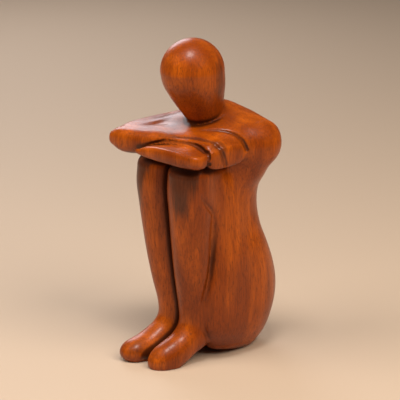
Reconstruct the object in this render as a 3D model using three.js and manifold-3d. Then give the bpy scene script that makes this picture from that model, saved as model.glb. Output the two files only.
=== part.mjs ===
// A carved wooden figurine: a seated, faceless figure with drawn-up knees and folded arms.
//
// Millimetres, +Z up. The figure faces -Y, so its own left side is +X. It is carved from one
// block, so the group holds one mesh. The body is first modelled around an axis that stands
// midway between the feet, and is then moved so that the origin is the bottom centre of its box.

import * as THREE from "three";
import { LoftGeometry } from "three/addons/geometries/LoftGeometry.js";
import { mergeVertices } from "three/addons/utils/BufferGeometryUtils.js";
import Module from "manifold-3d";

const wasm = await Module();
wasm.setup();

// Driving dimensions.
const HEIGHT = 200;
const KNEE_SPREAD = 14.2; // from the middle to the line of each leg
const ANKLE_SPREAD = 9.8;
const TOE_LENGTH = 9; // of the rounded end of each foot
const ARM_HEIGHT = 134; // middle of the folded arms, which lie level on the knees
const HIP_HALF_WIDTH = 29;
const WAIST_HALF_WIDTH = 22;
const HEAD_HALF_WIDTH = 18.8;

// The arms and the hand are planed off on top: the height at y = 0, and the rise towards +Y.
const ARM_TOP = { height: 144, rise: 0.04 };
const HAND_TOP = { height: 144.2, rise: 0.1 };
const LEFT_FOREARM_TOP = { height: 138.6, rise: 0 };

// Mesh density.
const RING_POINTS = 20;
const RINGS_PER_SPAN = 2;
const DOME_ANGLES = [30, 58, 80].map(THREE.MathUtils.degToRad);

// Superellipse exponents of the cross-sections: 2 is an ellipse, more is boxier.
const ROUND = 2;
const FULL = 2.35;

const WOOD_COLOUR = 0x8f3f14;
const WOOD_ROUGHNESS = 0.38;

// The direction a limb runs in, the two directions that its cross-sections span, and the sense
// in which they turn around it.
const ALONG_X = { run: "x", across: "y", up: "z", turn: 1 };
const ALONG_Y = { run: "y", across: "x", up: "z", turn: -1 };
const ALONG_Z = { run: "z", across: "x", up: "y", turn: 1 };

// A station is [run, across, up, half size across, half size up].
function readStation([run, across, up, halfAcross, halfUp]) {
  return { middle: new THREE.Vector3(run, across, up), half: new THREE.Vector2(halfAcross, halfUp) };
}

// One closed cross-section: a superellipse in the plane that the limb's direction stands on.
function ring(direction, turn, station, exponent) {
  const points = [];
  for (let i = 0; i < RING_POINTS; i++) {
    const angle = (turn * 2 * Math.PI * i) / RING_POINTS;
    const cosine = Math.cos(angle);
    const sine = Math.sin(angle);
    const point = new THREE.Vector3();
    point[direction.run] = station.middle.x;
    point[direction.across] =
      station.middle.y + station.half.x * Math.sign(cosine) * Math.abs(cosine) ** (2 / exponent);
    point[direction.up] =
      station.middle.z + station.half.y * Math.sign(sine) * Math.abs(sine) ** (2 / exponent);
    points.push(point);
  }
  return points;
}

// The stations of a rounded end, which reaches `length` past the station it closes.
function domeStations(station, length) {
  return DOME_ANGLES.map((angle) => ({
    middle: station.middle.clone().add(new THREE.Vector3(length * Math.sin(angle), 0, 0)),
    half: station.half.clone().multiplyScalar(Math.cos(angle)),
  }));
}

// A limb is a smooth skin through stations, with flat ends, or rounded ones of a given length.
function limb(direction, rows, { startDome = 0, endDome = 0, exponent = ROUND } = {}) {
  const stations = rows.map(readStation);
  const spine = new THREE.CatmullRomCurve3(stations.map((s) => s.middle), false, "catmullrom");
  const girth = new THREE.SplineCurve(stations.map((s) => s.half));
  const steps = (stations.length - 1) * RINGS_PER_SPAN;
  let skin = [];
  for (let i = 0; i <= steps; i++) {
    skin.push({ middle: spine.getPoint(i / steps), half: girth.getPoint(i / steps) });
  }
  const sense = Math.sign(skin.at(-1).middle.x - skin[0].middle.x);
  if (startDome > 0) {
    skin = [...domeStations(skin[0], -sense * startDome).reverse(), ...skin];
  }
  if (endDome > 0) {
    skin.push(...domeStations(skin.at(-1), sense * endDome));
  }
  const rings = skin.map((station) => ring(direction, sense * direction.turn, station, exponent));
  return toSolid(new LoftGeometry(rings, { capStart: true, capEnd: true }));
}

function mirrored(rows) {
  return rows.map(([run, across, ...rest]) => [run, -across, ...rest]);
}

// The solid with everything above a plane cut off.
function planed(solid, { height, rise }) {
  const downwards = new THREE.Vector3(0, rise, -1);
  const distance = -height / downwards.length();
  return solid.trimByPlane(downwards.toArray(), distance);
}

function toSolid(geometry) {
  const shell = new THREE.BufferGeometry();
  shell.setAttribute("position", geometry.getAttribute("position"));
  shell.setIndex(geometry.getIndex());
  const welded = mergeVertices(shell);
  const vertProperties = new Float32Array(welded.getAttribute("position").array);
  const triVerts = new Uint32Array(welded.getIndex().array);
  return new wasm.Manifold(new wasm.Mesh({ numProp: 3, vertProperties, triVerts }));
}

function toGeometry(solid) {
  const mesh = solid.getMesh();
  const geometry = new THREE.BufferGeometry();
  geometry.setAttribute("position", new THREE.BufferAttribute(mesh.vertProperties, 3));
  geometry.setIndex(new THREE.BufferAttribute(mesh.triVerts, 1));
  geometry.computeVertexNormals();
  return geometry;
}

// An upside-down teardrop that leans forward, with its narrow end in the shoulders.
function head() {
  const crown = 180;
  return [
    limb(ALONG_Z, [
      [144, 0, -1.5, 10.4, 11],
      [150, 0, -2.4, 11.4, 12.4],
      [156, 0, -3.8, 12.8, 14.2],
      [164, 0, -7, 15.8, 17],
      [172, 0, -9.4, 18.1, 19.4],
      [crown, 0, -10.8, HEAD_HALF_WIDTH, 20.1],
    ], { endDome: (HEIGHT - crown) / Math.sin(DOME_ANGLES.at(-1)) }),
  ];
}

// Buttocks, a narrow waist and a back that widens to the shoulders, as one upright skin.
function torso() {
  return [
    limb(ALONG_Z, [
      [-1, 0, 19.5, 16, 15.5],
      [3, 0, 18.6, 20, 19],
      [9, 0, 18, 24, 23.4],
      [22, 0, 17.4, 28.2, 29.6],
      [38, 0, 18.4, HIP_HALF_WIDTH, 31.8],
      [54, 0, 17.4, 28.4, 29.8],
      [66, 0, 16, 26.6, 26.2],
      [79, 0, 14.6, 23.8, 22],
      [92, 0, 13.4, WAIST_HALF_WIDTH, 20.8],
      [106, 0, 14, 25, 20],
      [117, 0, 16, 32, 20],
      [127, 0, 15.8, 34, 20],
      [138, 0, 15, 33, 19.4],
      [147, 0, 12.5, 27, 17],
      [152, 0, 10, 19, 14],
      [155, 0, 7, 13, 12],
    ], { endDome: 2.5 }),
  ];
}

// The breast slopes from the neck down to the folded arms.
function breast() {
  return [
    limb(ALONG_Y, [
      [22, 0, 138, 31, 12.6],
      [8, 0, 139, 32, 13.4],
      [-5, -1, 138, 32, 11.4],
      [-17, -3, 136, 31, 8.2],
      [-26, -5, 135, 30, 6.4],
    ], { startDome: 6, endDome: 4, exponent: FULL }),
  ];
}

function upperArms() {
  const left = limb(ALONG_Y, [
    [20, 26.6, ARM_HEIGHT, 13, 12.8],
    [11, 26.4, ARM_HEIGHT, 11, 11.2],
    [3, 24.4, ARM_HEIGHT, 9.4, 9.8],
    [-6, 22.8, ARM_HEIGHT, 8.4, 8.6],
    [-18, 22, ARM_HEIGHT, 7.6, 7],
  ], { startDome: 12, endDome: 4 });
  const right = limb(ALONG_Y, [
    [20, -27, ARM_HEIGHT + 1, 13, 12.6],
    [9, -30.5, ARM_HEIGHT + 2, 11.6, 11],
    [-2, -33.5, ARM_HEIGHT + 2.4, 11, 9.8],
    [-14, -35.5, ARM_HEIGHT + 2.2, 9.8, 9.2],
    [-26, -37, ARM_HEIGHT + 2, 7.6, 8.4],
    [-34, -38, ARM_HEIGHT + 1.4, 5, 6.4],
  ], { startDome: 12, endDome: 5 });
  return [left, planed(right, ARM_TOP)];
}

// The left forearm lies in front and tapers to its fingertips beside the right elbow.
function leftForearm() {
  const forearm = limb(ALONG_X, [
    [-15, -41, 132.2, 1.5, 1.5],
    [-10, -39, 132.8, 3.8, 3.2],
    [-3, -36.6, 133.6, 6.2, 4.8],
    [5, -35.2, ARM_HEIGHT, 7.4, 6],
    [14, -34, ARM_HEIGHT, 8.2, 6.6],
    [21, -32.8, ARM_HEIGHT, 8.2, 6.4],
    [27, -32, ARM_HEIGHT, 7, 5.6],
  ], { startDome: 2.5, endDome: 7, exponent: FULL });
  return [planed(forearm, LEFT_FOREARM_TOP)];
}

// The right forearm runs behind the left one, and its hand lies over the left arm.
function rightForearm() {
  const forearm = limb(ALONG_X, [
    [-41, -37.8, ARM_HEIGHT + 1.2, 3.4, 4],
    [-34, -33.6, ARM_HEIGHT + 1.2, 8, 7.8],
    [-24, -29, ARM_HEIGHT + 1.6, 10.4, 8.4],
    [-14, -24.6, ARM_HEIGHT + 2, 11, 7.8],
    [-4, -20, ARM_HEIGHT + 2.8, 10, 6.8],
    [8, -16.6, ARM_HEIGHT + 3, 9, 6],
    [20, -14, ARM_HEIGHT + 2, 8, 5],
  ], { startDome: 3, endDome: 3, exponent: FULL });
  return [planed(forearm, ARM_TOP)];
}

// The right hand folds down over the left arm as two groups of fingers, side by side.
function rightHand() {
  const hand = [
    [-6, -26.4, 137.4, 3.2, 2.6],
    [0, -24.6, 138, 4.8, 3.4],
    [8, -21.2, 138.4, 6.8, 4.8],
    [15, -18.2, 138.2, 8.2, 5.8],
    [22, -14.8, 137.2, 10.2, 6.8],
    [28, -12.6, 135, 13.4, 7.8],
    [31, -12, 133.1, 15.2, 6.6],
  ];
  const groupHalfWidth = 0.52; // of the hand's half width, so the two overlap slightly
  return [-0.5, 0.5].map((side) => {
    const fingers = hand.map(([run, across, up, halfAcross, halfUp]) =>
      [run, across + side * halfAcross, up, groupHalfWidth * halfAcross, halfUp]);
    return planed(limb(ALONG_X, fingers, { startDome: 2, endDome: 2.4, exponent: FULL }), HAND_TOP);
  });
}

function thighs() {
  const left = [
    [7, 12.2, 2.5, 8.4, 11.5],
    [16, 13, -2, 12.6, 16.5],
    [30, 13.6, -3.5, 14.6, 19.5],
    [46, 14, -2, 15, 20],
    [63, 13.6, 0.6, 15.2, 19.4],
    [80, 13, -0.5, 14.2, 18],
    [95, 12.8, -4, 13.2, 18.6],
    [108, 13, -9.5, 12.2, 18.5],
    [119, 13.4, -14.5, 11, 15.5],
  ];
  return [left, mirrored(left)].map((rows) => limb(ALONG_Z, rows, { startDome: 4, endDome: 9 }));
}

// Knees, shins and ankles. The two legs press together along the middle.
function shins() {
  const left = [
    [14, ANKLE_SPREAD, -18, 9.4, 8.6],
    [33, ANKLE_SPREAD, -18.2, 10, 9.4],
    [47, 11, -20, 10.8, 10.6],
    [62, 12, -22, 11.7, 11.3],
    [80, 13, -23.8, 12.5, 12],
    [98, 13.8, -25, 13.2, 13],
    [112, KNEE_SPREAD, -26, 13.6, 13.4],
    [121, KNEE_SPREAD, -25.8, 13.4, 12.8],
  ];
  return [left, mirrored(left)].map((rows) => limb(ALONG_Z, rows, { startDome: 4, endDome: 10 }));
}

// Rounded toes, and soles that lift off the ground towards the heels. The right foot is turned
// out a little and reaches further forward.
function feet() {
  const left = [
    [-43, 8, 4.6, 8.6, 9.2],
    [-38.5, 8.6, 5.4, 9.2, 10.6],
    [-33, 9, 8, 9.2, 10.4],
    [-27, 9.4, 11.6, 9, 10.9],
    [-20, 9.8, 15.2, 9, 10.4],
    [-14, 10, 16.2, 8, 9],
  ];
  const right = [
    [-47.4, -13.4, 5.4, 8.8, 7.6],
    [-40, -12.8, 5.8, 9.4, 9.2],
    [-32, -11.8, 8.8, 9.2, 10.4],
    [-22, -10.6, 14.4, 9, 10.2],
    [-14, -10, 16.2, 8, 9],
  ];
  return [left, right].map((rows) => limb(ALONG_Y, rows, { startDome: TOE_LENGTH, endDome: 3 }));
}

function carvedFigure() {
  const masses = [
    head, torso, breast, upperArms, leftForearm, rightForearm, rightHand, thighs, shins, feet,
  ];
  const body = masses
    .flatMap((mass) => mass())
    .reduce((whole, mass) => whole.add(mass))
    .trimByPlane([0, 0, 1], 0); // leaves the soles and the seat flat
  const geometry = toGeometry(body);
  geometry.computeBoundingBox();
  const middle = geometry.boundingBox.getCenter(new THREE.Vector3());
  geometry.translate(-middle.x, -middle.y, -geometry.boundingBox.min.z);
  return geometry;
}

const wood = new THREE.MeshStandardMaterial({
  color: WOOD_COLOUR,
  roughness: WOOD_ROUGHNESS,
  metalness: 0,
});

const figure = new THREE.Mesh(carvedFigure(), wood);
figure.name = "carved_figure";

const model = new THREE.Group();
model.add(figure);

export default model;
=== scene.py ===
"""A carved wooden figurine: a seated, faceless figure with drawn-up knees and folded arms.

The figure is one piece. It is modelled here as a sculptor would: simple masses are joined with
soft or crisp seams, grooves are cut along curves, and the skin is then meshed and polished.
All sculpting sizes are millimetres for a figure 200 mm tall, around an upright axis that stands
midway between the feet. They are scaled and placed from the frame's own box at the end.
"""

import math

import bpy
import numpy as np
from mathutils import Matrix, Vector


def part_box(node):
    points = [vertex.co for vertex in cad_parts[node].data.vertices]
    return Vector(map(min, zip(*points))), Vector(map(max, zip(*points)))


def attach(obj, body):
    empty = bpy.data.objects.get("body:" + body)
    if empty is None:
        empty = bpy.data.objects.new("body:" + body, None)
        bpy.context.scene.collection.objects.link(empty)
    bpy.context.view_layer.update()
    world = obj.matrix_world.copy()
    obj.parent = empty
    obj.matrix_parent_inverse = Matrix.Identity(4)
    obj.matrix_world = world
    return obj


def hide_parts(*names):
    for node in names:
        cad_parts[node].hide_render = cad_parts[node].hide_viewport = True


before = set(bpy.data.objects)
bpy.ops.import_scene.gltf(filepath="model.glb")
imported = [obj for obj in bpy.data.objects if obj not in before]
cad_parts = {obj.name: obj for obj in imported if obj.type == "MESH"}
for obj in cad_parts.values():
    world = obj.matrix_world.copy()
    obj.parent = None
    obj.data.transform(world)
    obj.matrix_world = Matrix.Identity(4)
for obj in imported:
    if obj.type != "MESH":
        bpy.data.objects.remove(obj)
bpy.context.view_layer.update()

import openvdb
from mathutils import Matrix, Vector

# Driving sizes, read from the frame.
NODE = "carved_figure"
LOW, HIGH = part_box(NODE)
HEIGHT = HIGH.z - LOW.z
SCULPT_HEIGHT = 200.0
MM = HEIGHT / SCULPT_HEIGHT

# Camera: three quarters from the figure's left, a little above it. The view's place is measured
# from the point where the figure's upright axis meets the table.
CAMERA_AZIMUTH = 48
CAMERA_ELEVATION = 17
CAMERA_DISTANCE = 6.5 * HEIGHT
VIEW_WIDTH = 1.261 * HEIGHT
VIEW_RIGHT = -0.0173 * HEIGHT
VIEW_UP = 0.4615 * HEIGHT
SENSOR = 36.0

# Sampling of the sculpture, in its millimetres.
VOXEL = 0.9
COARSE = 4  # voxels to the side of a coarse block
NEAR_SKIN = 1.6  # coarse blocks nearer to the skin than this many sides are sampled finely
POLISHES = 3  # times that the mesh's points are moved onto the true skin
HEADROOM = 6  # space above the head in the sampled box
GRID_LOW = (-60.0, -68.0, -2 * VOXEL)
GRID_HIGH = (54.0, 60.0, SCULPT_HEIGHT + HEADROOM)
EPSILON = 0.05  # half the step over which a gradient is measured
FLATTEST = 0.2  # least gradient that a step towards the skin trusts
FAR = 1e3  # further than any point is from the skin
SETTLINGS = 6  # steps that bring a groove's path onto the skin
GROOVE_STEP = 0.4  # distance between the points of a groove's path
GOUGE_EDGE = 1.0  # size of the fillet along a crisp groove's edges
GROOVE_BATCH = 20000  # about how many points are measured against a groove at a time
# Painted crease shade: how far above the skin closed-in air is looked for.
OCCLUSION_REACHES = (2.0, 5.0)  # distances above the skin at which a crease is looked for
SLIMMEST = 0.3  # least share of its end's size that a tapering limb keeps


# ---------------------------------------------------------------- sculpting kit
# A form is a function of points that is negative inside and about a distance outside.

ALONG_X = (0, 1, 2)
ALONG_Y = (1, 0, 2)
ALONG_Z = (2, 0, 1)

# They keep a limb's value finite and negative at its very middle.
REACH_FLOOR = 1e-6
SLOPE_FLOOR = 1e-9


def spline_table(rows, samples=16):
    """Rows whose first value increases, as a dense table on one smooth curve through them."""
    rows = np.asarray(rows, float)
    run = rows[:, 0]
    slopes = np.gradient(rows, run, axis=0)
    dense = []
    for i in range(len(rows) - 1):
        t = np.linspace(0, 1, samples, endpoint=False)[:, None]
        span = run[i + 1] - run[i]
        dense.append(
            (2 * t**3 - 3 * t**2 + 1) * rows[i]
            + (t**3 - 2 * t**2 + t) * span * slopes[i]
            + (3 * t**2 - 2 * t**3) * rows[i + 1]
            + (t**3 - t**2) * span * slopes[i + 1]
        )
    dense.append(rows[-1:])
    return np.concatenate(dense)


def limb(points, direction, rows, start, end, power=2.0, taper=False):
    """A rounded limb. A row is (place along it, middle across, middle up, half across, half up).

    Its ends are domes, start and end long. With taper they carry on the limb's own slopes.
    """
    table = spline_table(rows)
    run = points[:, direction[0]]
    place = np.clip(run, table[0, 0], table[-1, 0])
    past = run - place
    values = [np.interp(place, table[:, 0], table[:, k]) for k in range(1, 5)]
    if taper:
        first, last = ((table[i + 1] - table[i]) / (table[i + 1, 0] - table[i, 0]) for i in (0, -2))
        carried = [v + np.where(past < 0, first[k], last[k]) * past for k, v in enumerate(values, 1)]
        values = carried[:2] + [np.maximum(c, SLIMMEST * v) for c, v in zip(carried[2:], values[2:])]
    middle_across, middle_up, half_across, half_up = values
    dome = np.where(past < 0, start, end)
    half = (half_across, half_up, dome)
    offset = (points[:, direction[1]] - middle_across, points[:, direction[2]] - middle_up, past)
    ratio = [np.abs(o) / h for o, h in zip(offset, half)]
    reach = sum(r**power for r in ratio) ** (1 / power) + REACH_FLOOR
    slope = np.sqrt(sum((r ** (power - 1) / h) ** 2 for r, h in zip(ratio, half))) + SLOPE_FLOOR
    return (reach - 1) * reach ** (power - 1) / slope


def join(a, b, softness):
    """Both forms, with a fillet of about that size where they meet."""
    near = np.maximum(softness - np.abs(a - b), 0) / softness
    return np.minimum(a, b) - near**3 * softness / 6


def between(value, low, high):
    """0 below low, 1 above high, and smooth in between."""
    t = np.clip((value - low) / (high - low), 0, 1)
    return t * t * (3 - 2 * t)


def eased(value, low, high, at_low, at_high):
    """A size that changes smoothly from one place to another."""
    return at_low + (at_high - at_low) * between(value, low, high)


def flipped(rows):
    """The same rows of an upright limb, on the figure's other side."""
    return [(row[0], -row[1], *row[2:]) for row in rows]


def flipped_groove(rows):
    """The same groove on the figure's other side."""
    return [(-row[0], *row[1:]) for row in rows]


# ---------------------------------------------------------------- the figure's masses
# Left and right are the figure's own. Rows hold half sizes in their last two places.

HEAD = [
    (142, 0, 4, 9, 9.6),
    (149, 0, -0.2, 10.8, 12),
    (156, 0, -3.8, 12.8, 14.2),
    (164, 0, -7, 15.8, 17),
    (172, 0, -9.4, 18.1, 19.4),
    (180, 0, -10.8, 18.8, 20.1),
]
HEAD_CROWN = 20  # height of the head's dome
TORSO = [
    (-4, 0, 20, 11, 12),
    (3, 0, 19, 19, 18),
    (9, 0, 18, 23.5, 23),
    (22, 0, 17.4, 28, 29.6),
    (38, 0, 18.4, 29, 31.8),
    (54, 0, 17.4, 28.4, 29.8),
    (66, 0, 16.4, 26.6, 26.2),
    (79, 0, 15.4, 23.6, 21.8),
    (92, 0, 14.2, 22, 20.6),
    (106, 0, 14.4, 24.5, 20),
    (117, 0, 16, 31, 20),
    (127, 0, 15.5, 33.5, 19.6),
    (138, 0, 14.5, 31, 18.6),
]
SHOULDERS = [
    (-28, 21.5, 137, 11.8, 11),
    (-14, 17.5, 141, 12.6, 12.4),
    (0, 13, 144, 13.6, 14),
    (14, 17.5, 141, 12.6, 12.4),
    (28, 21.5, 137, 11.8, 11),
]
BREAST = [
    (-26, -5, 135, 29, 6),
    (-17, -3, 135.8, 30, 8),
    (-5, -1, 138, 30.5, 11.8),
    (8, 0, 139, 30, 14),
    (22, 0, 138, 30, 12.6),
]
LEFT_UPPER_ARM = [
    (-18, 22, 134, 7, 6),
    (-6, 22.4, 134, 7.4, 7.6),
    (3, 23.8, 134.2, 8, 8.8),
    (11, 26, 134.4, 10.4, 10.6),
    (20, 26.6, 134, 13, 12.6),
]
RIGHT_UPPER_ARM = [
    (-34, -38, 135.4, 5, 6.4),
    (-26, -37, 136, 7.6, 8.4),
    (-14, -35.5, 136.4, 9.8, 9.2),
    (-2, -33.5, 136.6, 11, 9.8),
    (9, -30.5, 136.4, 11.5, 11),
    (20, -27, 135, 12.8, 12.6),
]
RIGHT_FOREARM = [
    (-41, -37.8, 135.2, 3.4, 4),
    (-34, -33.6, 135.2, 8, 7.8),
    (-24, -29, 135.6, 10.4, 8.4),
    (-14, -24.6, 136, 11, 7.6),
    (-4, -20, 136.8, 9.6, 6.2),
    (8, -16.6, 137, 8, 5.4),
    (20, -14, 136, 8, 5),
]
LEFT_FOREARM = [
    (-15, -41, 132.2, 1.5, 1.5),
    (-10, -39, 132.8, 3.8, 3.2),
    (-3, -36.6, 133.6, 6.2, 4.8),
    (5, -35.2, 134, 7.4, 6),
    (14, -34, 134.2, 8.2, 6.6),
    (21, -32.8, 134, 8.2, 6.4),
    (27, -32, 133.8, 7, 5.6),
]
HAND = [
    (-9, -28.6, 136.6, 1.8, 1.8),
    (0, -24.6, 138, 4.8, 3.4),
    (8, -21.2, 138.4, 6.8, 4.8),
    (15, -18.2, 138.2, 8.2, 5.8),
    (22, -14.8, 137.2, 10.2, 6.8),
    (28, -12.6, 135, 13.4, 7.8),
    (31, -12, 133.1, 15.2, 6.6),
]
THIGH = [
    (7, 12.2, 2.5, 8.4, 11.5),
    (16, 13, -2, 12.6, 16.5),
    (30, 13.6, -3.5, 14.6, 19.5),
    (46, 14, -2, 15, 20),
    (63, 13.6, 0.6, 15.2, 19.4),
    (80, 13, -0.5, 14.2, 18),
    (95, 12.8, -4, 13.2, 18.6),
    (108, 13, -9.5, 12.2, 18.5),
    (119, 13.4, -14.5, 11, 15.5),
]
SHIN = [
    (14, 9.8, -18, 9.4, 8.6),
    (33, 9.8, -18.2, 10, 9.4),
    (47, 11, -20, 10.8, 10.6),
    (62, 12, -22, 11.7, 11.3),
    (80, 13, -23.8, 12.5, 12),
    (98, 13.8, -25, 13.2, 13),
    (112, 14.2, -26, 13.6, 13.4),
    (121, 14.2, -25.8, 13.4, 12.8),
]
LEFT_FOOT = [
    (-43, 8, 4.6, 8.6, 9.2),
    (-38.5, 8.6, 5.4, 9.2, 10.6),
    (-33, 9, 8, 9.2, 10.4),
    (-27, 9.4, 11.6, 9, 10.9),
    (-20, 9.8, 15.2, 9, 10.4),
    (-14, 10, 16.2, 8, 9),
]
RIGHT_FOOT = [
    (-47.4, -13.4, 5.4, 8.8, 7.6),
    (-40, -12.8, 5.8, 9.4, 9.2),
    (-32, -11.8, 8.8, 9.2, 10.4),
    (-22, -10.6, 14.4, 9, 10.2),
    (-14, -10, 16.2, 8, 9),
]

# Crisp grooves: x, y, z and the radius of a round gouge that runs along the skin.
FOREARM_GROOVE = [
    (-13.5, -36, 135.5, 0.4),
    (-5.5, -30.5, 138.5, 1),
    (8, -27.5, 140, 1),
    (18, -25, 140, 1.2),
    (28, -25.5, 137, 1.4),
    (32.5, -27.5, 134, 1.4),
    (33, -28, 128, 1.2),
]
FINGER_GROOVE = [
    (-5, -30, 139, 0.5),
    (4, -26, 141.5, 0.9),
    (14.5, -21, 142.5, 1.3),
    (26, -19, 142, 1.5),
    (32, -17, 138, 1.5),
    (33.5, -15.5, 134.5, 1.5),
    (33, -13.5, 128, 1.5),
]
PALM_GROOVE = [
    (6, -16, 144.5, 0.3),
    (16, -10, 145.5, 0.9),
    (24.5, -4, 145, 1.2),
    (29.5, 1, 141.5, 1.3),
    (33, 4, 134.5, 1.2),
]
KNEE_CREASE = [
    (27.5, -28, 110.5, 0.6),
    (27.5, -23.5, 104.5, 1.5),
    (24, -16, 96, 1.4),
    (22.5, -13.5, 86, 0.6),
]

# Soft grooves: x, y, z, then how wide to each side and how deep.
KNEE_GROOVE = [
    (27.5, -28, 110.5, 3.5, 0.4),
    (27.5, -23.5, 104.5, 3.5, 1.2),
    (24, -16, 96, 3.5, 1.9),
    (22.5, -13.5, 83.5, 4, 2.2),
    (21.5, -15, 64, 4.5, 2.1),
    (21, -19.5, 44, 4, 2.2),
    (20, -19, 24, 3.5, 2),
    (17, -14.5, 8, 2.5, 1.1),
]
KNEE_RECESS = [
    (2, -38.5, 127.5, 4, 1.4),
    (10, -38, 127, 5.5, 2.6),
    (18, -36.5, 126.5, 5.5, 2.8),
    (25, -32, 125.5, 5, 1.8),
]
SPINE = [
    (0, 34, 134, 5, 0.2),
    (0, 34, 122, 6, 0.7),
    (0, 33, 108, 6.5, 1),
    (0, 34, 92, 6.5, 1),
    (0, 38, 76, 6, 0.7),
    (0, 44, 60, 5, 0.3),
]


# Fillets where the masses meet.
ANKLE_FILLET = 8
BETWEEN_THIGHS_FILLET = 3
BETWEEN_LEGS_FILLET = 1.2
ELBOW_FILLET = 7
BREAST_FILLET = 10
UPPER_ARM_FILLET = 8
LEFT_FOREARM_FILLET = 0.8

# Fillets that change along the body: two places, then the size at each.
HIP_FILLET = (12, 60, 18, 10)
LEG_FILLET = (84, 98, 1.5, 10.5)
SHOULDER_FILLET = (-5, 12, 2, 10)
RIGHT_ARM_FILLET = (134, 141, 2, 10)
HAND_FILLET = (-14, 6, 1.2, 6.2)
NECK_FILLET = (-4, 10, 1.5, 8.5)

# The arms' tops are planed off: heights, slopes and how soft the edges are.
ARM_TOP, ARM_RISE, ARM_FLAT_BEFORE, ARM_EDGE = 144, 0.04, -30, 2.5
HAND_TOP, HAND_RISE, HAND_MIDDLE, HAND_EDGE = 143, 0.1, -12, 2
FOREARM_TOP, FOREARM_EDGE = 138, 1.2
FOREARM_MIDDLE = (14, -34)
FOREARM_DISH = 0.012
FOREARM_SAG = 0.003


def leg(p, shin_rows, foot_rows):
    shin = limb(p, ALONG_Z, shin_rows, start=4, end=10)
    foot = limb(p, ALONG_Y, foot_rows, start=8.8, end=3, power=2.1, taper=True)
    return join(shin, foot, ANKLE_FILLET)


def planed(form, height, softness):
    """The form with its top planed off at a height."""
    return -join(-form, -height, softness)


def right_arm(p):
    _, y, z = p.T
    arm = join(
        limb(p, ALONG_Y, RIGHT_UPPER_ARM, start=5, end=12, power=2.3),
        limb(p, ALONG_X, RIGHT_FOREARM, start=3, end=3, power=2.5),
        ELBOW_FILLET,
    )
    return planed(arm, z - ARM_TOP - ARM_RISE * np.maximum(y, ARM_FLAT_BEFORE), ARM_EDGE)


def right_hand(p):
    _, y, z = p.T
    hand = limb(p, ALONG_X, HAND, start=2, end=2.4, power=3)
    return planed(hand, z - HAND_TOP - HAND_RISE * (y - HAND_MIDDLE), HAND_EDGE)


def left_forearm(p):
    """The front arm, with its top slightly dished."""
    x, y, z = p.T
    forearm = limb(p, ALONG_X, LEFT_FOREARM, start=2.5, end=7, power=2.5)
    dish = FOREARM_DISH * (y - FOREARM_MIDDLE[1]) ** 2 - FOREARM_SAG * (x - FOREARM_MIDDLE[0]) ** 2
    return planed(forearm, z - FOREARM_TOP - dish, FOREARM_EDGE)


def lower_body(p):
    """The torso, the thighs and the legs."""
    z = p[:, 2]
    torso = limb(p, ALONG_Z, TORSO, start=2, end=8)
    thighs = [limb(p, ALONG_Z, rows, start=4, end=9) for rows in (THIGH, flipped(THIGH))]
    trunk = join(torso, join(*thighs, BETWEEN_THIGHS_FILLET), eased(z, *HIP_FILLET))
    legs = join(leg(p, SHIN, LEFT_FOOT), leg(p, flipped(SHIN), RIGHT_FOOT), BETWEEN_LEGS_FILLET)
    return join(trunk, legs, eased(z, *LEG_FILLET))


def shoulders(p):
    """The shoulders with the breast and the left upper arm."""
    yoke = limb(p, ALONG_X, SHOULDERS, start=8, end=8)
    breast = limb(p, ALONG_Y, BREAST, start=4, end=6, power=2.35)
    upper_arm = limb(p, ALONG_Y, LEFT_UPPER_ARM, start=4, end=12)
    return join(join(yoke, breast, BREAST_FILLET), upper_arm, UPPER_ARM_FILLET)


def figure(p):
    """The whole body, before its grooves are cut."""
    x, y, z = p.T
    body = join(lower_body(p), shoulders(p), eased(y, *SHOULDER_FILLET))
    body = join(body, right_arm(p), eased(z, *RIGHT_ARM_FILLET))
    body = join(body, right_hand(p), eased(-x, *HAND_FILLET))
    body = join(body, left_forearm(p), LEFT_FOREARM_FILLET)
    head = limb(p, ALONG_Z, HEAD, start=4, end=HEAD_CROWN)
    body = join(body, head, eased(y, *NECK_FILLET))
    return np.maximum(body, -z)


def settle(form, points):
    """Points moved to the nearest place on the form's skin."""
    for _ in range(SETTLINGS):
        slope = slope_of(form, points)
        steepness = np.maximum((slope**2).sum(1), FLATTEST**2)
        points = points - slope * (form(points) / steepness)[:, None]
    return points


def groove(rows, on=None):
    """A groove's rows as closely spaced points on a curve, settled onto a form."""
    rows = np.asarray(rows, float)
    place = np.concatenate([[0], np.cumsum(np.linalg.norm(np.diff(rows[:, :3], axis=0), axis=1))])
    table = spline_table(np.column_stack([place, rows]))
    even = np.arange(0, place[-1], GROOVE_STEP)
    path = np.column_stack([np.interp(even, table[:, 0], column) for column in table[:, 1:].T])
    if on is not None:
        path[:, :3] = settle(on, path[:, :3])
    return path


def near_path(p, path, reach):
    """The places of the points that lie in the path's box, in parts that fit in memory."""
    inside = np.all((p > path[:, :3].min(0) - reach) & (p < path[:, :3].max(0) + reach), axis=1)
    inside = np.flatnonzero(inside)
    return np.array_split(inside, max(1, len(inside) // GROOVE_BATCH))


def cut_depth(p, path):
    """How deep a soft groove cuts at each point: deepest on its path, fading to nothing at its width."""
    depth = np.zeros(len(p))
    for part in near_path(p, path, path[:, 3].max()):
        gap = np.linalg.norm(p[part, None] - path[None, :, :3], axis=2)
        fade = np.clip(1 - gap / path[:, 3], 0, 1) ** 2 * path[:, 4]
        depth[part] = fade.max(axis=1)
    return depth


def gouged(form, p, path):
    """The form's values at p after a round gouge has run along a path."""
    away = np.full(len(p), FAR)
    for part in near_path(p, path, path[:, 3].max() + 2 * GOUGE_EDGE):
        gap = np.linalg.norm(p[part, None] - path[None, :, :3], axis=2)
        away[part] = (gap - path[:, 3]).min(axis=1)
    return -join(-form, away, GOUGE_EDGE)


# ---------------------------------------------------------------- meshing


def slope_of(form, points):
    """The form's gradient at each point."""
    slope = np.empty_like(points)
    for k in range(3):
        step = np.zeros(3)
        step[k] = EPSILON
        slope[:, k] = (form(points + step) - form(points - step)) / (2 * EPSILON)
    return slope


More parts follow.
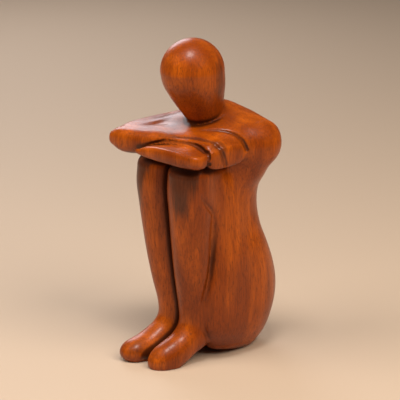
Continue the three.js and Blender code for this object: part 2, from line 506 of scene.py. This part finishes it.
def sample(form, low, high, voxel):
    """The form on a grid, worked out finely only near the skin."""
    counts = np.ceil((high - low) / (voxel * COARSE)).astype(int)
    axes = [low[k] + voxel * COARSE * (np.arange(counts[k]) + 0.5) for k in range(3)]
    centres = np.stack(np.meshgrid(*axes, indexing="ij"), axis=-1).reshape(-1, 3)
    rough = form(centres).reshape(counts)
    band = voxel * COARSE * NEAR_SKIN
    fine = np.kron(rough, np.ones((COARSE,) * 3))
    near = np.argwhere(np.kron(np.abs(rough) < band, np.ones((COARSE,) * 3, bool)))
    values = form(low + voxel * (near + 0.5))
    fine[near[:, 0], near[:, 1], near[:, 2]] = values
    return fine.astype(np.float32)


def skin(form, low, high, voxel):
    """Vertices and four-sided faces of the form's surface."""
    grid = openvdb.FloatGrid(FAR)
    grid.copyFromArray(sample(form, low, high, voxel))
    points, quads = grid.convertToQuads(0)
    points = low + voxel * (points.astype(float) + 0.5)
    for _ in range(POLISHES):
        slope = slope_of(form, points)
        size = np.maximum(np.linalg.norm(slope, axis=1), FLATTEST)
        distance = form(points) / size
        points -= slope * (np.clip(distance, -voxel, voxel) / size)[:, None]
    return points, quads


def crease_occlusion(form, points):
    """How closed in the air above each point is, 0 on open skin and 1 deep in a crease: the amount of
    painted crease shade.
    """
    slope = slope_of(form, points)
    outwards = slope / np.maximum(np.linalg.norm(slope, axis=1), FLATTEST)[:, None]
    closed = [1 - form(points + reach * outwards) / reach for reach in OCCLUSION_REACHES]
    return np.clip(np.max(closed, axis=0), 0, 1)


def grooved_form():
    """The figure's form with all its grooves cut."""
    arm_grooves = (FOREARM_GROOVE, FINGER_GROOVE, PALM_GROOVE)
    knee_creases = (KNEE_CREASE, flipped_groove(KNEE_CREASE))
    crisp = [groove(rows, on=figure) for rows in arm_grooves + knee_creases]
    soft = [groove(rows, on=figure) for rows in (KNEE_GROOVE, flipped_groove(KNEE_GROOVE), SPINE)]
    soft.append(groove(KNEE_RECESS))

    def form(p):
        values = figure(p) + sum(cut_depth(p, path) for path in soft)
        for path in crisp:
            values = gouged(values, p, path)
        return values

    return form


def carved_figure():
    """The finished piece, in the middle of the frame's box, and the foot of the figure's axis."""
    form = grooved_form()
    points, quads = skin(form, np.array(GRID_LOW), np.array(GRID_HIGH), VOXEL)
    painted_shade_amount = crease_occlusion(form, points)
    middle = (points.min(0) + points.max(0)) / 2
    place = np.array([(LOW.x + HIGH.x) / 2, (LOW.y + HIGH.y) / 2, LOW.z])
    points = (points - [middle[0], middle[1], 0]) * MM + place
    mesh = bpy.data.meshes.new("carved_wood")
    mesh.from_pydata(points.tolist(), [], quads.tolist())
    # Each point carries how much painted shade darkens the wood there, deepest in creases and recesses.
    mesh.attributes.new("painted_crease_shade", "FLOAT", "POINT").data.foreach_set("value", painted_shade_amount)
    mesh.shade_smooth()
    piece = bpy.data.objects.new("carved_wood", mesh)
    bpy.context.scene.collection.objects.link(piece)
    return piece, (Vector(place) - Vector((*middle[:2], 0)) * MM)


# ---------------------------------------------------------------- materials


def node(tree, kind, inputs=None, **settings):
    """A new shader node. An input is a constant or another node's output."""
    item = tree.nodes.new(kind)
    for name, value in settings.items():
        setattr(item, name, value)
    for name, value in (inputs or {}).items():
        if isinstance(value, bpy.types.NodeSocket):
            tree.links.new(value, item.inputs[name])
        else:
            item.inputs[name].default_value = value
    return item


def maths(tree, operation, *values):
    return node(tree, "ShaderNodeMath", dict(enumerate(values)), operation=operation).outputs[0]


def vector_maths(tree, operation, *values, output=0):
    item = node(tree, "ShaderNodeVectorMath", dict(enumerate(values)), operation=operation)
    return item.outputs[output]


def ramp(tree, value, low, high, to_low=0.0, to_high=1.0):
    """The value, smoothly remapped from low..high."""
    inputs = {"Value": value, "From Min": low, "From Max": high, "To Min": to_low, "To Max": to_high}
    return node(tree, "ShaderNodeMapRange", inputs, interpolation_type="SMOOTHSTEP").outputs[0]


def blend(tree, factor, first, second, mode="MIX"):
    """Two colours blended."""
    item = node(tree, "ShaderNodeMix", {0: factor, 6: first, 7: second}, data_type="RGBA", blend_type=mode)
    return item.outputs[2]


def stretched(tree, place, scale):
    """Coordinates in sculpture millimetres times a scale for each axis."""
    return vector_maths(tree, "MULTIPLY", place, scale)


def noise(tree, place, scale, detail=2.0, rough=0.5):
    inputs = {"Vector": stretched(tree, place, scale), "Scale": 1.0, "Detail": detail, "Roughness": rough}
    return node(tree, "ShaderNodeTexNoise", inputs).outputs["Fac"]


ORANGE = (0.40, 0.077, 0.002, 1)
RED_BROWN = (0.205, 0.033, 0.001, 1)
HEARTWOOD = (0.078, 0.020, 0.007, 1)
# Painted shade laid into creases and recesses.
CREASE_SHADE_COLOUR = (0.035, 0.007, 0.002, 1)
PORE = (0.06, 0.012, 0.003, 1)

# The tree's rings stand around a pith behind the figure, which leans a little.
RING_MM = 7.0
RING_WANDER = 26.0
PITH = (-34.0, 96.0, 0.0)
PITH_LEAN = 0.16

# How often each kind of mark repeats in a millimetre: two ways across the grain, then along it.
WANDER_SCALE = (0.03, 0.03, 0.012)
FIBRE_SCALE = (1.3, 1.3, 0.045)
CLOUD_SCALE = (0.06, 0.06, 0.016)
STREAK_SCALE = (0.38, 0.38, 0.018)
PORE_SCALE = (1.25, 1.25, 0.28)
PORE_BEND = 0.25

# How strongly each mark colours the wood.
RING_DUSK = 0.55
RING_SHOWS = 0.6
STREAK_SHOWS = 0.55
PORE_SHOWS = 0.42
# How strongly the painted crease shade darkens the wood.
CREASE_SHADE_SHOWS = 0.88
FIBRE_SHADE = (0.78, 1.18)

# Patches of heartwood: middle, reach each way, height at which it stops, strength.
STAINS = [
    ((20, -38, 128), (18, 22, 42), 128, 0.95),
    ((-19, -38, 128), (13, 20, 40), 128, 0.95),
    ((18, -4, 178), (6, 6, 30), 200, 0.5),
    ((-6, -27, 142), (16, 6, 6), 200, 0.4),
    ((30, -17, 139), (9, 6, 14), 200, 0.5),
    ((-9, -48, 8), (6, 12, 9), 20, 0.4),
]
STAIN_TOP_EDGE = 2
STAIN_RAGGED = 1.1
STAIN_RIM = (1.1, 0.65)  # shares of its reach between which a patch fades in

# The wood's roughness and what fibres and pores add to it, then the height of its relief.
ROUGHNESS = 0.29
FIBRE_ROUGHNESS = 0.10
PORE_ROUGHNESS = 0.12
FIBRE_RELIEF = 0.35
RELIEF_MM = 0.12
RELIEF_STRENGTH = 0.35


def stain(tree, place, centre, radii, top, ragged):
    """A pointed patch below a height: 1 in its middle, 0 outside, ragged along the grain."""
    away = vector_maths(tree, "SUBTRACT", place, centre)
    away = vector_maths(tree, "ABSOLUTE", away)
    away = vector_maths(tree, "DOT_PRODUCT", away, [1 / r for r in radii], output="Value")
    patch = ramp(tree, maths(tree, "ADD", away, ragged), *STAIN_RIM)
    height = node(tree, "ShaderNodeSeparateXYZ", {0: place}).outputs[2]
    return maths(tree, "MULTIPLY", patch, ramp(tree, height, top + STAIN_TOP_EDGE, top))


def stains(tree, place, streak):
    """All the patches of heartwood, each at its own strength."""
    ragged = maths(tree, "MULTIPLY_ADD", streak, STAIN_RAGGED, -STAIN_RAGGED / 2)
    dark = 0.0
    for centre, radii, top, strength in STAINS:
        patch = stain(tree, place, centre, radii, top, ragged)
        dark = maths(tree, "MAXIMUM", dark, maths(tree, "MULTIPLY", patch, strength))
    return dark


def growth_ring(tree, place):
    """How deep in the late wood of a ring each point lies. Rings wander around a leaning pith."""
    wander = noise(tree, place, WANDER_SCALE, detail=3)
    lean = vector_maths(tree, "SUBTRACT", place, PITH)
    turn = {"Vector": lean, "Angle": PITH_LEAN}
    lean = node(tree, "ShaderNodeVectorRotate", turn, rotation_type="X_AXIS").outputs[0]
    radius = vector_maths(tree, "LENGTH", stretched(tree, lean, (1, 1, 0)), output="Value")
    radius = maths(tree, "MULTIPLY_ADD", wander, RING_WANDER, radius)
    phase = maths(tree, "FRACT", maths(tree, "DIVIDE", radius, RING_MM))
    return maths(tree, "MULTIPLY", ramp(tree, phase, 0.0, 0.8), ramp(tree, phase, 1.0, 0.86))


def pore_marks(tree, place):
    """Short dark dashes along the grain, which are dots where the grain ends."""
    inputs = {
        "Vector": stretched(tree, place, PORE_SCALE),
        "Scale": 1.0,
        "Detail": 2.0,
        "Distortion": PORE_BEND,
    }
    return ramp(tree, node(tree, "ShaderNodeTexNoise", inputs).outputs["Fac"], 0.54, 0.68)


def wood_colour(tree, place, fibre, pore):
    """Orange and red-brown bands, then heartwood, fibres, pores and painted shade in the creases."""
    cloud = noise(tree, place, CLOUD_SCALE, detail=2)
    streak = noise(tree, place, STREAK_SCALE, detail=3, rough=0.55)
    colour = blend(tree, ramp(tree, cloud, 0.35, 0.65), ORANGE, RED_BROWN)
    dusky = blend(tree, RING_DUSK, colour, RED_BROWN)
    ring = growth_ring(tree, place)
    colour = blend(tree, maths(tree, "MULTIPLY", ring, RING_SHOWS), colour, dusky)
    colour = blend(tree, ramp(tree, streak, 0.45, 0.72, 0, STREAK_SHOWS), colour, RED_BROWN)
    colour = blend(tree, stains(tree, place, streak), colour, HEARTWOOD)
    shade = ramp(tree, fibre, 0.3, 0.7, *FIBRE_SHADE)
    shade = node(tree, "ShaderNodeCombineXYZ", {0: shade, 1: shade, 2: shade}).outputs[0]
    colour = blend(tree, 1.0, colour, shade, mode="MULTIPLY")
    colour = blend(tree, maths(tree, "MULTIPLY", pore, PORE_SHOWS), colour, PORE)
    # Painted shade: darker wood where the air above the skin is closed in.
    painted_crease_shade = node(tree, "ShaderNodeAttribute", attribute_name="painted_crease_shade").outputs["Fac"]
    return blend(tree, ramp(tree, painted_crease_shade, 0.25, 0.85, 0, CREASE_SHADE_SHOWS), colour, CREASE_SHADE_COLOUR)


def wood(axis_foot):
    """Oiled reddish-brown wood, with its grain upright."""
    material = bpy.data.materials.new("oiled_wood")
    material.use_nodes = True
    tree = material.node_tree
    shader = tree.nodes["Principled BSDF"]
    place = node(tree, "ShaderNodeTexCoord").outputs["Object"]
    place = vector_maths(tree, "SUBTRACT", place, axis_foot)
    place = stretched(tree, place, (1 / MM,) * 3)
    fibre = noise(tree, place, FIBRE_SCALE, detail=4, rough=0.6)
    pore = pore_marks(tree, place)

    rough = maths(tree, "MULTIPLY_ADD", fibre, FIBRE_ROUGHNESS, ROUGHNESS)
    rough = maths(tree, "MULTIPLY_ADD", pore, PORE_ROUGHNESS, rough)
    relief = maths(tree, "SUBTRACT", maths(tree, "MULTIPLY", fibre, FIBRE_RELIEF), pore)
    relief = {"Strength": RELIEF_STRENGTH, "Distance": RELIEF_MM * MM, "Height": relief}
    tree.links.new(wood_colour(tree, place, fibre, pore), shader.inputs["Base Color"])
    tree.links.new(rough, shader.inputs["Roughness"])
    tree.links.new(node(tree, "ShaderNodeBump", relief).outputs[0], shader.inputs["Normal"])
    shader.inputs["IOR"].default_value = 1.5
    shader.inputs["Specular IOR Level"].default_value = 0.3
    shader.inputs["Coat Weight"].default_value = 0.1
    shader.inputs["Coat Roughness"].default_value = 0.15
    return material


def pale_floor():
    material = bpy.data.materials.new("pale_floor")
    material.use_nodes = True
    shader = material.node_tree.nodes["Principled BSDF"]
    shader.inputs["Base Color"].default_value = (0.50, 0.38, 0.28, 1)
    shader.inputs["Roughness"].default_value = 0.7
    return material


# ---------------------------------------------------------------- stage

FLOOR_REACH = 30 * HEIGHT


def facing(azimuth, elevation):
    """The way from the figure towards a viewer: degrees round from its front to its left, and up."""
    a, e = math.radians(azimuth), math.radians(elevation)
    return Vector((math.sin(a) * math.cos(e), -math.cos(a) * math.cos(e), math.sin(e)))


def camera(axis_foot):
    """The scene's camera. axis_foot is where the figure's upright axis meets the table."""
    a = math.radians(CAMERA_AZIMUTH)
    right = Vector((math.cos(a), math.sin(a), 0))
    back = facing(CAMERA_AZIMUTH, CAMERA_ELEVATION)
    up = back.cross(right)
    data = bpy.data.cameras.new("camera")
    data.sensor_width = SENSOR
    data.lens = SENSOR * CAMERA_DISTANCE / VIEW_WIDTH
    item = bpy.data.objects.new("camera", data)
    place = axis_foot + right * VIEW_RIGHT + up * VIEW_UP + back * CAMERA_DISTANCE
    item.matrix_world = Matrix.Translation(place) @ Matrix((right, up, back)).transposed().to_4x4()
    bpy.context.scene.collection.objects.link(item)
    bpy.context.scene.camera = item


def floor(material):
    far = FLOOR_REACH
    corners = [(-far, -far, 0), (far, -far, 0), (far, far, 0), (-far, far, 0)]
    mesh = bpy.data.meshes.new("floor")
    mesh.from_pydata(corners, [], [(0, 1, 2, 3)])
    mesh.materials.append(material)
    item = bpy.data.objects.new("floor", mesh)
    bpy.context.scene.collection.objects.link(item)


def light(name, azimuth, elevation, distance, size, power, colour, mirrored=True):
    """A square soft light aimed at the figure's middle. Distance and size are in figure heights.

    One that isn't mirrored lights the wood without showing in its gloss.
    """
    back = facing(azimuth, elevation)
    data = bpy.data.lights.new(name, "AREA")
    data.size = size * HEIGHT
    data.energy = power
    data.color = colour
    item = bpy.data.objects.new(name, data)
    item.visible_glossy = mirrored
    place = Vector((0, 0, HEIGHT / 2)) + back * distance * HEIGHT
    item.matrix_world = Matrix.Translation(place) @ back.to_track_quat("Z", "Y").to_matrix().to_4x4()
    bpy.context.scene.collection.objects.link(item)


def room(colour, strength):
    world = bpy.data.worlds.new("room")
    world.use_nodes = True
    background = world.node_tree.nodes["Background"]
    background.inputs["Color"].default_value = colour
    background.inputs["Strength"].default_value = strength
    bpy.context.scene.world = world


COOL = (0.92, 0.94, 1.0)
NEUTRAL = (1.0, 0.97, 0.93)
WARM = (1.0, 0.92, 0.82)
WARMER = (1.0, 0.9, 0.78)


def lights():
    light("window", azimuth=-115, elevation=25, distance=6, size=2.6, power=4, colour=COOL)
    light("ceiling", azimuth=42, elevation=70, distance=5, size=1.5, power=6.5, colour=NEUTRAL)
    light("fill", azimuth=95, elevation=45, distance=5, size=3, power=9, colour=WARMER, mirrored=False)
    light("left", azimuth=-25, elevation=45, distance=5, size=3, power=7, colour=WARM, mirrored=False)
    room(colour=(1.0, 0.93, 0.85, 1), strength=0.08)


piece, axis_foot = carved_figure()
piece.data.materials.append(wood(axis_foot))
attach(piece, "root")
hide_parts(NODE)
camera(axis_foot)
floor(pale_floor())
lights()
bpy.context.scene.view_settings.view_transform = "Standard"
